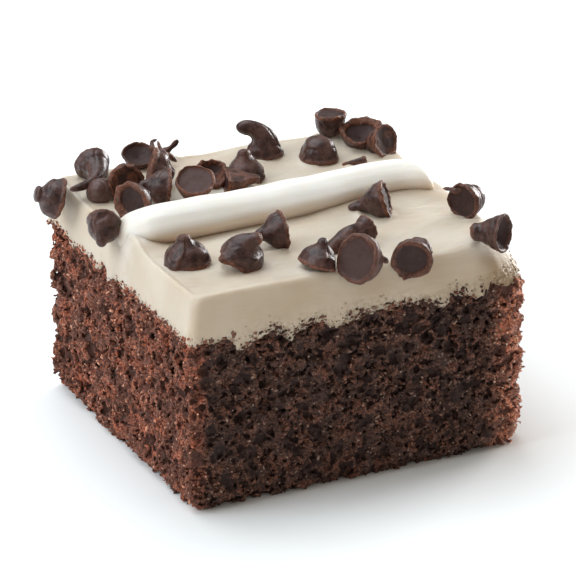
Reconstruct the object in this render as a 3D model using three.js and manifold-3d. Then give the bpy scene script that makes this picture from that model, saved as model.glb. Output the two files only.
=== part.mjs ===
// A square piece of chocolate sponge cake under coffee frosting, with a piped cream stripe
// across the middle and chocolate chips scattered over the top.
// Millimetres, +Z up. The origin is the middle of the cake's flat underside, +X runs along the
// stripe and -Y is the wide cut side.
import * as THREE from 'three';
import { mergeVertices } from 'three/addons/utils/BufferGeometryUtils.js';
import Module from 'manifold-3d';

const wasm = await Module();
wasm.setup();

// Driving dimensions
const cakeLength = 61.6;
const cakeDepth = 57;
const spongeHeight = 29.5;
const frostingDepth = 7.6;
const cornerRadius = 1.6;
const nearCornerRadius = 4.5;
const ridgeRounding = 8;
const crumbRelief = 0.8;
const footInset = 1.1;
const seamWave = 0.7;
const stripeWidth = 6.9;
const stripeThickness = 6.3;
const stripeSink = 0.7;
const chipDiameter = 7.2;
const chipHeight = 5.6;
const chipWaist = 0.45;
const chipSink = 0.6;
const gap = 0.3;

// How finely the shapes are faceted
const samplesPerSide = 28;
const spongeRows = 14;
const chipSides = 12;
const stripeSides = 14;
const stripeSteps = 26;

const frostingTop = spongeHeight + frostingDepth;
const radians = THREE.MathUtils.degToRad;
const { clamp, lerp, smoothstep } = THREE.MathUtils;

const looks = {
  sponge: { color: 0x4a2a20, roughness: 0.95 },
  frosting: { color: 0xd2c4ae, roughness: 0.55 },
  cream: { color: 0xe9e2d6, roughness: 0.45 },
  chocolate: { color: 0x35211c, roughness: 0.38 },
};

// The frosting's rings from the seam up: share of its height, how far each stands out from the
// cut side, and how far that follows the lean of the side
const frostingRings = [
  { share: 0.3, out: 0.1, lean: 0 },
  { share: 0.72, out: 0, lean: -0.9 },
  { share: 0.95, out: 0, lean: -1.7 },
  { share: 1, out: 0, lean: -3.1 },
];
const topRings = [0.82, 0.62, 0.42, 0.22];

// How the stripe wanders over the top: its middle and its thickness as a share
const stripePath = [
  { x: -30.2, y: 0, share: 0.7 }, { x: -27.4, y: -1, share: 0.9 },
  { x: -23.4, y: -1.4, share: 1 }, { x: -14, y: -0.9, share: 1 }, { x: -7, y: -0.7, share: 0.97 },
  { x: 0, y: -0.95, share: 1 }, { x: 6.8, y: -0.6, share: 0.99 }, { x: 12, y: 0.4, share: 0.97 },
  { x: 20.5, y: 1.4, share: 0.88 }, { x: 24, y: 1, share: 0.86 }, { x: 27.7, y: -0.3, share: 0.84 },
];

// A piped drop: radius as a share of its widest, height as a share of its own
const dropProfile = [
  [0, 0.05], [0.84, 0.01], [1.02, 0.06], [1, 0.22], [0.89, 0.39], [0.68, 0.54],
  [0.47, 0.67], [0.33, 0.82], [0.2, 0.96], [0, 1],
];

// Every chip: its place on the plan, where its tip points (heading turns from +X to +Y, pitch is
// up from level), and what makes it differ from a plain drop. size scales the whole chip, tall
// its neck, thin narrows the neck, bend curves it by that angle towards bendTo round its axis,
// knob thickens its tip, narrow squeezes the chip, cut slices its side off, roll turns it round
// its axis, dent hollows its foot, and lift raises it onto its neighbours.
const chips = [
  { x: -33.5, y: 20.8, heading: 165, pitch: 20, size: 0.96, lift: -3.0, tall: 0.75, knob: 0.4 },
  { x: -26.9, y: 24.0, heading: 214, pitch: -12, size: 0.82, tall: 3.0, thin: 0.4 },
  { x: -26.3, y: 18.0, heading: 74, pitch: 6, size: 0.68 },
  { x: -21.8, y: 17.9, heading: 60, pitch: -30, size: 0.76, dent: 0.5 },
  { x: -23.9, y: 7.0, heading: 28, pitch: 0, size: 0.94, lift: 0.5, dent: 0.12 },
  { x: -31.8, y: 2.5, heading: 235, pitch: 0, size: 0.92, tall: 0.8, lift: -0.6, narrow: 0.82 },
  { x: -18.0, y: 12.4, heading: 165, pitch: 8, size: 0.8, tall: 1.1 },
  { x: -15.1, y: 18.9, heading: 335, pitch: -15, size: 0.8 },
  { x: -15.3, y: 26.1, heading: 70, pitch: -38, size: 0.6, tall: 0.6, dent: 0.4 },
  { x: -9.6, y: 27.6, heading: 335, pitch: 30, size: 0.34, tall: 3.6, bend: -25, thin: 0.8, knob: 0.6 },
  { x: -12.5, y: 9.1, heading: 62, pitch: -64, size: 0.9, lift: 0.6 },
  { x: -7.1, y: 14.7, heading: 160, pitch: 40, size: 0.72 },
  { x: -3.4, y: 11.7, heading: 345, pitch: -8, size: 0.9, tall: 1.3, cut: 0.1, roll: 180 },
  { x: -0.7, y: 15.2, heading: 90, pitch: 84, size: 0.95 },
  { x: 6.2, y: 23.0, heading: 154, pitch: 88, size: 0.8, tall: 2.7, bend: 122, thin: 0.86 },
  { x: 14.7, y: 17.7, heading: 64, pitch: 80, size: 1.0, tall: 0.4 },
  { x: 20.5, y: 25.3, heading: 244, pitch: -78, size: 0.76, tall: 0.8, thin: 1.6, lift: 0.6 },
  { x: 24.4, y: 20.4, heading: 50, pitch: -74, size: 0.93, tall: 0.6, dent: 0.35, lift: -0.6 },
  { x: 26.4, y: 16.0, heading: 120, pitch: 4, size: 0.78, cut: 0.45, lift: 0.2 },
  { x: 18.9, y: 12.7, heading: 176, pitch: 0, size: 0.24, tall: 5.0, thin: 1.3 },
  { x: 12.1, y: -8.5, heading: 147, pitch: -18, size: 0.86, tall: 1.75, thin: 0.8 },
  { x: 26.2, y: -15.2, heading: 8, pitch: 0, size: 0.84, tall: 1.35 },
  { x: 24.5, y: -28.0, heading: 165, pitch: 6, size: 0.84, lift: -1.2, tall: 1.3, knob: 0.5 },
  { x: -24.3, y: -13.2, heading: 160, pitch: 83, size: 1.0, tall: 0.9 },
  { x: -17.4, y: -17.8, heading: 320, pitch: 62, size: 1.02, bend: 50 },
  { x: -9.2, y: -13.4, heading: 172, pitch: -6, size: 0.86, tall: 1.1 },
  { x: -6.2, y: -24.1, heading: 10, pitch: 70, size: 0.86, bend: 30, bendTo: 200 },
  { x: -0.2, y: -29.4, heading: 22, pitch: -20, size: 1.08, lift: -0.6 },
  { x: 4.2, y: -17.1, heading: 195, pitch: -15, size: 0.5, tall: 3.0, thin: 1.4 },
  { x: 8.5, y: -27.8, heading: 62, pitch: 12, size: 0.94, lift: -2.6 },
];

const twoDigits = (n) => String(n).padStart(2, '0');

// A repeatable number from 0 to 1 at each point of a whole-number grid
function hash(i, j, k) {
  let h = Math.imul(i, 374761393) + Math.imul(j, 668265263) + Math.imul(k, 1274126177);
  h = Math.imul(h ^ (h >>> 13), 1103515245);
  return ((h ^ (h >>> 16)) >>> 0) / 4294967296;
}

// Smooth noise from -1 to 1 whose bumps are `scale` apart
function noise(point, scale) {
  const at = point.clone().divideScalar(scale);
  const cell = at.clone().floor();
  const share = at.sub(cell);
  const ease = (t) => t * t * (3 - 2 * t);
  let sum = 0;
  for (let corner = 0; corner < 8; corner += 1) {
    const [a, b, c] = [corner & 1, (corner >> 1) & 1, corner >> 2];
    const weight =
      (a ? ease(share.x) : 1 - ease(share.x)) *
      (b ? ease(share.y) : 1 - ease(share.y)) *
      (c ? ease(share.z) : 1 - ease(share.z));
    sum += weight * hash(cell.x + a, cell.y + b, cell.z + c);
  }
  return 2 * sum - 1;
}

// The height of the spread frosting: broad waves that a palette knife leaves, and a raised back
function frostingSurface(x, y) {
  const long = 0.28 * Math.sin(x / 8.5 + 0.7) * Math.cos(y / 10 - 0.4);
  const short = 0.12 * Math.sin(x / 3.9 + y / 5.2);
  const back = 0.9 * smoothstep(y, 16, 27) * (1 + 0.4 * Math.exp(-(((x - 3) / 4.5) ** 2)));
  return frostingTop + long + short + back;
}

// Points round the edge of the unit square, anticlockwise from above
function squareEdge() {
  const corners = [[1, -1], [1, 1], [-1, 1], [-1, -1]];
  return corners.flatMap(([x, y], n) => {
    const [nextX, nextY] = corners[(n + 1) % corners.length];
    return Array.from({ length: samplesPerSide }, (_, i) => {
      const t = i / samplesPerSide;
      return new THREE.Vector2(lerp(x, nextX, t), lerp(y, nextY, t));
    });
  });
}

const edgePoints = squareEdge();

// A point of the square's edge carried to the cake's cut sides, `spread` mm outside them and
// with the near right corner rounded by `rounding` more
function onSide(e, spread, rounding) {
  const near = e.x > 0 && e.y < 0;
  const radius = near ? nearCornerRadius + rounding : cornerRadius;
  const half = new THREE.Vector2(cakeLength / 2 + spread, cakeDepth / 2 + spread);
  const core = new THREE.Vector2(
    clamp(e.x * half.x, radius - half.x, half.x - radius),
    clamp(e.y * half.y, radius - half.y, half.y - radius),
  );
  const away = new THREE.Vector2(e.x * half.x, e.y * half.y).sub(core);
  return core.add(away.setLength(radius));
}

// One ring round the cut sides, at the height that `height` gives
function ring(spread, height, rounding = 0) {
  return edgePoints.map((e) => {
    const p = onSide(e, spread(onSide(e, 0, rounding), e), rounding);
    return new THREE.Vector3(p.x, p.y, height(p.x, p.y));
  });
}

// A closed solid from rings stacked upwards, with a fan of triangles at each end
function stack(rings) {
  const count = rings[0].length;
  const middle = (points) =>
    points.reduce((sum, p) => sum.add(p), new THREE.Vector3()).divideScalar(count);
  const points = [...rings.flat(), middle(rings[0]), middle(rings[rings.length - 1])];
  const low = rings.length * count;
  const faces = [];
  for (let i = 0; i < count; i += 1) {
    const next = (i + 1) % count;
    for (let r = 0; r < rings.length - 1; r += 1) {
      const [a, b] = [r * count + i, r * count + next];
      faces.push(a, b, b + count, a, b + count, a + count);
    }
    const last = (rings.length - 1) * count;
    faces.push(low, next, i, low + 1, last + i, last + next);
  }
  const geometry = new THREE.BufferGeometry().setFromPoints(points);
  geometry.setIndex(faces);
  return geometry;
}

function toSolid(geometry) {
  const bare = geometry.clone();
  bare.deleteAttribute('normal');
  bare.deleteAttribute('uv');
  const merged = mergeVertices(bare, 1e-4);
  return new wasm.Manifold(new wasm.Mesh({
    numProp: 3,
    vertProperties: new Float32Array(merged.attributes.position.array),
    triVerts: new Uint32Array(merged.index.array),
  }));
}

// The largest piece of a solid, as a geometry
function toGeometry(solid) {
  const pieces = solid.decompose().sort((a, b) => b.volume() - a.volume());
  const mesh = pieces[0].getMesh();
  const geometry = new THREE.BufferGeometry();
  geometry.setAttribute('position', new THREE.BufferAttribute(mesh.vertProperties, 3));
  geometry.setIndex(new THREE.BufferAttribute(mesh.triVerts, 1));
  return geometry;
}

function node(name, geometry, look, place = new THREE.Vector3()) {
  const shape = geometry.clone().translate(-place.x, -place.y, -place.z);
  shape.computeVertexNormals();
  const material = new THREE.MeshStandardMaterial({ metalness: 0, ...look });
  const mesh = new THREE.Mesh(shape, material);
  mesh.name = name;
  mesh.position.copy(place);
  return mesh;
}

// Where sponge and frosting meet at the cut sides: an uneven line
const seam = (x, y) => seamWave * noise(new THREE.Vector3(x, y, 0), 4.2);

// The sponge: its cut sides are rough with crumbs and open pores, and its foot is drawn in
function spongeGeometry() {
  const rings = [];
  for (let row = 0; row <= spongeRows; row += 1) {
    const share = row / spongeRows;
    const foot = row === 0 ? -footInset : 0;
    const relief = row === spongeRows ? 0 : crumbRelief;
    const spread = (place) => {
      const at = new THREE.Vector3(place.x, place.y, share * spongeHeight);
      const rough = 0.65 * noise(at, 3.1) + 0.35 * noise(at, 6.7) - 0.15;
      return foot + relief * rough;
    };
    rings.push(ring(spread, (x, y) => share * (spongeHeight + seam(x, y))));
  }
  return stack(rings);
}

// How much each side of the frosting leans in: the left one is nearly upright
function lean(e) {
  const [across, deep] = [Math.abs(e.x) ** 8, Math.abs(e.y) ** 8];
  const facing = across / (across + deep);
  return facing * (e.x < 0 ? 0.55 : 1) + (1 - facing) * (e.y < 0 ? 0.8 : 0.75);
}

// The frosting, from the seam up its leaning sides to the ridge and over the spread top
function frostingGeometry(grow = 0) {
  const under = (x, y) => spongeHeight + seam(x, y) + gap - grow;
  const rings = [ring(() => grow, under)];
  for (const step of frostingRings) {
    const spread = (place, e) => {
      const swell = 0.35 * noise(new THREE.Vector3(place.x, place.y, 9), 9);
      return step.out + step.lean * lean(e) + swell + grow;
    };
    const height = (x, y) => lerp(under(x, y), frostingSurface(x, y), step.share) + grow;
    rings.push(ring(spread, height, ridgeRounding * smoothstep(step.share, 0, 0.75)));
  }
  const ridge = rings[rings.length - 1];
  for (const share of topRings) {
    rings.push(ridge.map((p) => {
      const [x, y] = [p.x * share, p.y * share];
      return new THREE.Vector3(x, y, frostingSurface(x, y) + grow);
    }));
  }
  return stack(rings);
}

// The middle and the thickness of the stripe at one x
function stripeAt(x) {
  const next = Math.max(1, stripePath.findIndex((row) => row.x >= x));
  const [a, b] = [stripePath[next - 1], stripePath[next]];
  const t = smoothstep(x, a.x, b.x);
  return { y: lerp(a.y, b.y, t), share: lerp(a.share, b.share, t) };
}

// The piped stripe: an oval rope with blunt ends, lying a little sunk
function stripeGeometry(grow = 0) {
  const [start, end] = [stripePath[0].x, stripePath[stripePath.length - 1].x];
  const z = frostingTop - stripeSink;
  const rings = [];
  for (let step = 1; step < stripeSteps; step += 1) {
    const along = Math.sin(((step / stripeSteps) * 2 - 1) * (Math.PI / 2));
    const x = lerp(start - grow, end + grow, (along + 1) / 2);
    const { y, share } = stripeAt(clamp(x, start, end));
    const fat = share * Math.pow(1 - along ** 12, 0.4);
    const half = fat * (stripeWidth / 2) + grow;
    const rise = fat * (stripeThickness / 2);
    rings.push(Array.from({ length: stripeSides }, (_, i) => {
      const turn = (i / stripeSides) * 2 * Math.PI;
      const up = rise + (rise + grow) * Math.sin(turn);
      return new THREE.Vector3(x, y + half * Math.cos(turn), z + up);
    }));
  }
  return stack(rings);
}

// Carries a point beside a straight spine to the spine's curve above the waist
function bent({ bend = 0, bendTo = 0 }, across, deep, along, waist, height) {
  const angle = radians(bend || 0.01);
  const radius = (height - waist) / angle;
  const turned = (angle * Math.max(along - waist, 0)) / (height - waist);
  const [cosTo, sinTo] = [Math.cos(radians(bendTo)), Math.sin(radians(bendTo))];
  const side = across * cosTo + deep * sinTo;
  const other = deep * cosTo - across * sinTo;
  const out = radius * (1 - Math.cos(turned)) + side * Math.cos(turned);
  const up = Math.min(along, waist) + radius * Math.sin(turned) - side * Math.sin(turned);
  return [out * cosTo - other * sinTo, out * sinTo + other * cosTo, up];
}

// A chip standing on its base at the origin, its tip up
function chipGeometry(chip, grow) {
  const { size, tall = 1, thin = 1, knob = 0, narrow = 1, cut = 2, dent = 0 } = chip;
  const radius = (chipDiameter / 2) * size;
  const waist = chipWaist * chipHeight * size;
  const neck = (1 - chipWaist) * chipHeight * size * tall;
  const profile = dropProfile.map(([r, z], i) => {
    const foot = i < 2;
    const slim = lerp(1, thin, smoothstep(z, chipWaist, 0.75)) + knob * smoothstep(z, 0.7, 0.88);
    const out = r === 0 ? 0 : r * slim * radius + grow;
    const hollow = foot ? dent * radius * (1 - r) : 0;
    const up = z < chipWaist
      ? (z / chipWaist) * waist
      : waist + ((z - chipWaist) / (1 - chipWaist)) * neck;
    return new THREE.Vector2(out, up + hollow + (foot ? -grow : grow * z));
  });
  const geometry = new THREE.LatheGeometry(profile, chipSides);
  const position = geometry.attributes.position;
  for (let i = 0; i < position.count; i += 1) {
    // The lathe turns round Y, so its Y becomes the chip's height
    const across = Math.min(position.getX(i), cut * radius + grow);
    const deep = -position.getZ(i) * narrow;
    position.setXYZ(i, ...bent(chip, across, deep, position.getY(i), waist, waist + neck));
  }
  geometry.rotateZ(radians(chip.roll ?? 0));
  geometry.rotateY(radians(90 - chip.pitch));
  return geometry.rotateZ(radians(chip.heading));
}

// A turned chip resting on the frosting, `grow` mm larger all round
function placedChip(chip, grow = 0) {
  const box = new THREE.Box3().setFromBufferAttribute(chipGeometry(chip, 0).attributes.position);
  const middle = box.getCenter(new THREE.Vector3());
  const floor = frostingSurface(chip.x, chip.y) - chipSink + (chip.lift ?? 0);
  return chipGeometry(chip, grow)
    .translate(chip.x - middle.x, chip.y - middle.y, floor - box.min.z);
}

// Cuts each chip clear of the frosting, of the stripe and of the chips before it
function chipNodes(bed, rope) {
  const taken = [];
  return chips.map((chip, i) => {
    let solid = toSolid(placedChip(chip)).subtract(bed).subtract(rope);
    for (const neighbour of taken) solid = solid.subtract(neighbour);
    taken.push(toSolid(placedChip(chip, gap)));
    const place = new THREE.Vector3(chip.x, chip.y, frostingTop);
    return node(`chip_${twoDigits(i + 1)}`, toGeometry(solid), looks.chocolate, place);
  });
}

const bed = toSolid(frostingGeometry(gap));
const stripe = toSolid(stripeGeometry()).subtract(bed);
const rope = toSolid(stripeGeometry(gap));

const toppings = new THREE.Group();
toppings.add(node('cream_stripe', toGeometry(stripe), looks.cream,
  new THREE.Vector3(0, 0, frostingTop)));
toppings.add(...chipNodes(bed, rope));

const cake = new THREE.Group();
cake.add(node('sponge', spongeGeometry(), looks.sponge));
cake.add(node('frosting', frostingGeometry(), looks.frosting,
  new THREE.Vector3(0, 0, spongeHeight)));
cake.add(toppings);

export default cake;
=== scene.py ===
"""A square piece of chocolate sponge cake with coffee frosting, a piped cream stripe and chips.

Lengths in the functions are millimetres, and a piece's mesh is turned into metres when it is made.
"""

import math
from functools import partialmethod

import bmesh
import bpy
import numpy as np
from mathutils import Matrix, Vector
from bpy.props import FloatProperty, FloatVectorProperty, IntProperty, PointerProperty


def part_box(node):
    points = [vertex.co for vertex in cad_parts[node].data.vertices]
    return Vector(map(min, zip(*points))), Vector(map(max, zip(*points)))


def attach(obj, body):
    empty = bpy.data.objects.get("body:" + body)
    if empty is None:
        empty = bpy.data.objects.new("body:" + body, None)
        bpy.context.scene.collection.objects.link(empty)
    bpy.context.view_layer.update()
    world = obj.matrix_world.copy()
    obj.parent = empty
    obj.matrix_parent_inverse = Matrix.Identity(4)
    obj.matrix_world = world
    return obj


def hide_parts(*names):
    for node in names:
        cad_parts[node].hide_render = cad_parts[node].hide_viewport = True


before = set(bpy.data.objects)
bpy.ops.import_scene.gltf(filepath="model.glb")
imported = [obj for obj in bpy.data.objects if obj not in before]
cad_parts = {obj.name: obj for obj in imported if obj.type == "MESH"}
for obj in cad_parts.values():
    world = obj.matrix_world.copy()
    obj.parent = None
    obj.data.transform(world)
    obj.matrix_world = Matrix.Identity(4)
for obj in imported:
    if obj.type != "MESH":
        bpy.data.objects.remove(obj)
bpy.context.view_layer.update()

bl_info = {
    "name": "Cappuccino mini cake",
    "version": (1, 0, 0),
    "blender": (4, 5, 0),
    "location": "3D View > Sidebar > Cake",
    "description": "Builds a piece of chocolate sponge cake with coffee frosting and chocolate chips",
    "category": "Add Mesh",
}

BODY = "root"
MM = 0.001


def node_box(name):
    """The lowest and highest corner of a node, in millimetres."""
    low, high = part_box(name)
    return np.array(low) / MM, np.array(high) / MM


# The cut cake's nominal sizes, which the crumb's relief stands a little proud of
CAKE_LENGTH = 61.6
CAKE_DEPTH = 57.0
HALF_LENGTH = CAKE_LENGTH / 2
HALF_DEPTH = CAKE_DEPTH / 2
SPONGE_HEIGHT = 29.5
FROSTING_DEPTH = 7.6
FROSTING_TOP = SPONGE_HEIGHT + FROSTING_DEPTH
SEAM_WAVE = 0.7
# How round the corners are from above, and how much rounder the near right one gets at the ridge
CORNER = 1.6
CORNER_NEAR = 4.5
RIDGE_ROUND = 8.0
# How deep the grown crumb of each cut side reaches, how far its window overlaps the next one, how
# far the crumb may stand out, and how far it reaches up under the frosting
SIDE_DEPTH = 4.6
SIDE_LAP = 0.3
SIDE_REACH = 1.4
SPONGE_UNDER = 1.6
SIDE_TRIANGLES = 172000
# Distance between samples of the plain heart, how far the foot draws in, and how many points the
# smallest piece of crumb has that is kept
HEART_STEP = 1.0
FOOT_INSET = 1.1
SMALLEST_ISLAND = 4000.0
# Painted light: how much more red, green and blue the crumb at the left end and at the near right corner
# gives back, standing in for the key light on the left side and the light from the right on the rounded
# corner
LEFT_PAINTED_LIGHT = (2.15, 1.62, 1.38)
RIGHT_PAINTED_LIGHT = (5.0, 4.3, 3.9)
LIGHTEST_CRUMB = (0.82, 0.68, 0.58)
# The frosting's cut side from below the seam up to the ridge, as an offset and a share of its
# height: crisp at the left, soft towards the right
HEM = [(-2.6, -0.15), (-1.3, -0.1), (-0.5, -0.03), (-0.02, 0.06), (0.16, 0.17)]
CRISP_SIDE = [*HEM, (0.08, 0.34), (-0.7, 0.66), (-1.35, 0.88), (-1.95, 0.985), (-2.7, 1.015), (-3.8, 1.0)]
SOFT_SIDE = [*HEM, (0.0, 0.34), (-0.7, 0.6), (-1.45, 0.79), (-2.35, 0.92), (-3.3, 0.975), (-4.6, 1.0)]
SIDE_ROWS = 200
# The share of the frosting's sheet that lies on top, counted from its middle
TOP_SHARE = 0.80
# How round the near right corner is on its way up: shares of the height and of RIDGE_ROUND
NEAR_ROUNDING = ((0, 0.16, 0.35, 0.58, 0.85), (0, 0.25, 0.56, 0.69, 1))
LOBE_DROP = 1.3
# The mound of frosting at the stripe's left end and the low bank in front of the stripe
SMEAR_PLACE = (-28.4, -2.2)
SMEAR_REACH = (3.4, 4.4)
SMEAR_HEIGHT = 2.1
BANK_HEIGHT = 0.9
# The stripe: its section, how far it sinks in and how far its top leans back
STRIPE_WIDTH = 6.9
STRIPE_THICK = 6.05
STRIPE_SINK = 0.95
STRIPE_LEAN = 0.32
# How blunt its left and right ends are
STRIPE_ENDS = (36, 26)
# How it wanders over the top: x, y and its thickness as a share
STRIPE_PATH = [(-30.2, 0.7, 0.8), (-28.0, -0.1, 0.91), (-25.0, -0.9, 0.98), (-14.0, -0.9, 1.0),
               (-7.0, -0.7, 0.97), (0.0, -0.95, 1.0), (6.8, -0.6, 0.99), (12.0, 0.4, 0.97),
               (19.5, 1.2, 0.9), (23.0, 0.4, 0.88), (26.3, -1.4, 0.84)]


# Shared shapes and noise

def lattice(i, j, k):
    """A repeatable number from 0 to 1 at each point of a whole-number grid."""
    mask = 0xFFFFFFFF
    h = (i * 374761393 + j * 668265263 + k * 1274126177) & mask
    h = ((h ^ (h >> 13)) * 1103515245) & mask
    return (h ^ (h >> 16)) / 4294967296


def noise(points, scale):
    """Smooth noise from -1 to 1 whose bumps are scale apart, at each row of points."""
    at = np.asarray(points, float) / scale
    cell = np.floor(at).astype(np.int64)
    share = at - cell
    ease = share * share * (3 - 2 * share)
    total = np.zeros(len(at))
    for corner in range(8):
        step = np.array([corner & 1, (corner >> 1) & 1, corner >> 2])
        weight = np.prod(np.where(step, ease, 1 - ease), axis=1)
        total += weight * lattice(*(cell + step).T)
    return 2 * total - 1


def smooth_step(value, low, high):
    """0 below low, 1 above high and an even curve between them."""
    share = np.clip((np.asarray(value, float) - low) / (high - low), 0, 1)
    return share * share * (3 - 2 * share)


def through(points, count):
    """A smooth line of count points through the given ones, evenly spaced along it."""
    points = np.asarray(points, float)
    ends = np.vstack([2 * points[0] - points[1], points, 2 * points[-1] - points[-2]])
    fine = []
    for n in range(1, len(ends) - 2):
        a, b, c, d = ends[n - 1:n + 3]
        for t in np.linspace(0, 1, 24, endpoint=False):
            fine.append(0.5 * (2 * b + (c - a) * t + (2 * a - 5 * b + 4 * c - d) * t ** 2
                               + (3 * b - a - 3 * c + d) * t ** 3))
    fine = np.array(fine + [points[-1]])
    length = np.r_[0, np.cumsum(np.linalg.norm(np.diff(fine, axis=0), axis=1))]
    even = np.linspace(0, length[-1], count)
    return np.column_stack([np.interp(even, length, fine[:, k]) for k in range(fine.shape[1])])


def frosting_surface(x, y):
    """The height of the spread frosting, with the broad waves that a palette knife leaves."""
    long = 0.28 * np.sin(x / 8.5 + 0.7) * np.cos(y / 10 - 0.4)
    short = 0.12 * np.sin(x / 3.9 + y / 5.2)
    back = 0.9 * smooth_step(y, 16, 27) * (1 + 0.4 * np.exp(-((x - 3) / 4.5) ** 2))
    return FROSTING_TOP + long + short + back


def flat_points(x, y):
    return np.column_stack([x, y, np.zeros(len(x))])


def seam_height(x, y):
    """Where sponge and frosting meet at the cut sides."""
    return SPONGE_HEIGHT + SEAM_WAVE * noise(flat_points(x, y), 4.2)


# Meshes and pieces

def plain_piece(name, mesh, nodes, material=None):
    """A finished piece at the origin that rides with the cake."""
    piece = bpy.data.objects.new(name, mesh)
    bpy.context.scene.collection.objects.link(piece)
    if material is not None:
        piece.data.materials.clear()
        piece.data.materials.append(material)
    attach(piece, BODY)
    if nodes:
        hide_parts(*nodes)
    return piece


def make_mesh(name, points, faces, marks):
    """A smooth closed mesh from points in millimetres, its faces turned outwards."""
    mesh = bpy.data.meshes.new(name)
    mesh.from_pydata((np.asarray(points) * MM).tolist(), [], [list(f) for f in faces])
    for key, values in marks.items():
        layer = mesh.attributes.new(key, "FLOAT", "POINT")
        layer.data.foreach_set("value", np.asarray(values, np.float32))
    work = bmesh.new()
    work.from_mesh(mesh)
    bmesh.ops.triangulate(work, faces=[f for f in work.faces if len(f.verts) > 4])
    bmesh.ops.recalc_face_normals(work, faces=work.faces)
    work.to_mesh(mesh)
    work.free()
    mesh.polygons.foreach_set("use_smooth", [True] * len(mesh.polygons))
    mesh.update()
    return mesh


def tube_faces(rings, around):
    """Faces between rings of points; the point before them and the one after close the ends."""
    faces = []
    for i in range(around):
        j = (i + 1) % around
        faces.append((0, 1 + j, 1 + i))
        for r in range(rings - 1):
            a, b = 1 + r * around + i, 1 + r * around + j
            faces.append((a, b, b + around, a + around))
        last = 1 + (rings - 1) * around
        faces.append((last + i, last + j, 1 + rings * around))
    return faces


# Node trees

class Graph:
    """Adds nodes to a tree and joins them, in the units of the tree's own coordinates."""

    def __init__(self, tree):
        self.tree = tree

    def feed(self, node, feeds):
        """Joins nodes or their sockets to a node's inputs, and sets plain values on them."""
        for key, value in feeds.items():
            if isinstance(value, bpy.types.Node):
                value = value.outputs[0]
            if isinstance(value, bpy.types.NodeSocket):
                self.tree.links.new(value, node.inputs[key])
            else:
                node.inputs[key].default_value = value

    def add(self, kind, feeds=None, **settings):
        node = self.tree.nodes.new(kind)
        for name, value in settings.items():
            setattr(node, name, value)
        self.feed(node, feeds or {})
        return node

    def math(self, operation, *values):
        return self.add("ShaderNodeMath", dict(enumerate(values)), operation=operation)

    plus = partialmethod(math, "ADD")
    less = partialmethod(math, "SUBTRACT")
    times = partialmethod(math, "MULTIPLY")
    times_plus = partialmethod(math, "MULTIPLY_ADD")
    least = partialmethod(math, "MINIMUM")
    most = partialmethod(math, "MAXIMUM")

    def vector(self, operation, *values):
        return self.add("ShaderNodeVectorMath", dict(enumerate(values)), operation=operation)

    def scaled(self, vector, factor):
        return self.add("ShaderNodeVectorMath", {0: vector, "Scale": factor}, operation="SCALE")

    def joined(self, x, y, z):
        return self.add("ShaderNodeCombineXYZ", {0: x, 1: y, 2: z})

    def separate(self, vector):
        return self.add("ShaderNodeSeparateXYZ", {0: vector}).outputs

    def noise(self, place, size, detail=2.0, roughness=0.5, colour=False):
        feeds = {"Vector": place, "Scale": 1 / size, "Detail": detail, "Roughness": roughness}
        return self.add("ShaderNodeTexNoise", feeds).outputs[1 if colour else 0]

    def swing(self, *about):
        """Noise about zero."""
        return self.less(self.noise(*about), 0.5)

    def sway(self, *about):
        """Noise about zero along each axis."""
        return self.vector("SUBTRACT", self.noise(*about, colour=True), (0.5, 0.5, 0.5))

    def cells(self, place, size):
        return self.add("ShaderNodeTexVoronoi", {"Vector": place, "Scale": 1 / size})

    def ramp(self, value, low, high, to_low=0.0, to_high=1.0, smooth=True):
        feeds = {"Value": value, "From Min": low, "From Max": high, "To Min": to_low, "To Max": to_high}
        kind = "SMOOTHSTEP" if smooth else "LINEAR"
        return self.add("ShaderNodeMapRange", feeds, interpolation_type=kind)

    def blend(self, share, a, b, kind="MIX"):
        node = self.add("ShaderNodeMix", {0: share, 6: a, 7: b}, data_type="RGBA", blend_type=kind)
        return node.outputs[2]

    def layered(self, base, *coats):
        """A base under coats of other colours, each with its share and how it is blended."""
        for share, coat, *kind in coats:
            base = self.blend(share, base, coat, *kind)
        return base

    def attribute(self, name):
        return self.add("ShaderNodeAttribute", attribute_name=name).outputs["Fac"]

    def relief(self, height, depth):
        """Bump of the given depth in millimetres."""
        return self.add("ShaderNodeBump", {"Height": height, "Distance": depth * MM, "Strength": 1.0})


def shader(name):
    """A new material, its graph, its surface shader and Object coordinates in millimetres."""
    material = bpy.data.materials.new(name)
    material.use_nodes = True
    graph = Graph(material.node_tree)
    surface = material.node_tree.nodes["Principled BSDF"]
    place = graph.scaled(graph.add("ShaderNodeTexCoord").outputs["Object"], 1 / MM)
    return material, graph, surface, place


# Materials

def painted_light_ends(graph, place, base):
    """The crumb's colour, lighter and redder at the left end and at the near right corner: painted light
    from the key light on the left and the light from the right.
    """
    along, across = graph.separate(place)[:2]
    uneven = graph.times_plus(graph.swing(place, 3.2, 2.0, 0.6), 9.0, across)
    behind = graph.ramp(uneven, 0.8 - HALF_DEPTH, 7.0 - HALF_DEPTH, 1.0, 0.16)
    gains = []
    for left, right in zip(LEFT_PAINTED_LIGHT, RIGHT_PAINTED_LIGHT):
        # Painted light: lighter on the left end, and torn on the rounded near right corner, strongest at
        # the front
        lighter = graph.ramp(along, 1.2 - HALF_LENGTH, 3.6 - HALF_LENGTH, left, 1.0)
        torn = graph.ramp(along, HALF_LENGTH - 9.0, HALF_LENGTH - 1.2, 0.0, right - 1)
        gains.append(graph.times(lighter, graph.plus(graph.times(torn, behind), 1.0)))
    return graph.vector("MINIMUM", graph.vector("MULTIPLY", base, graph.joined(*gains)), LIGHTEST_CRUMB)


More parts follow.
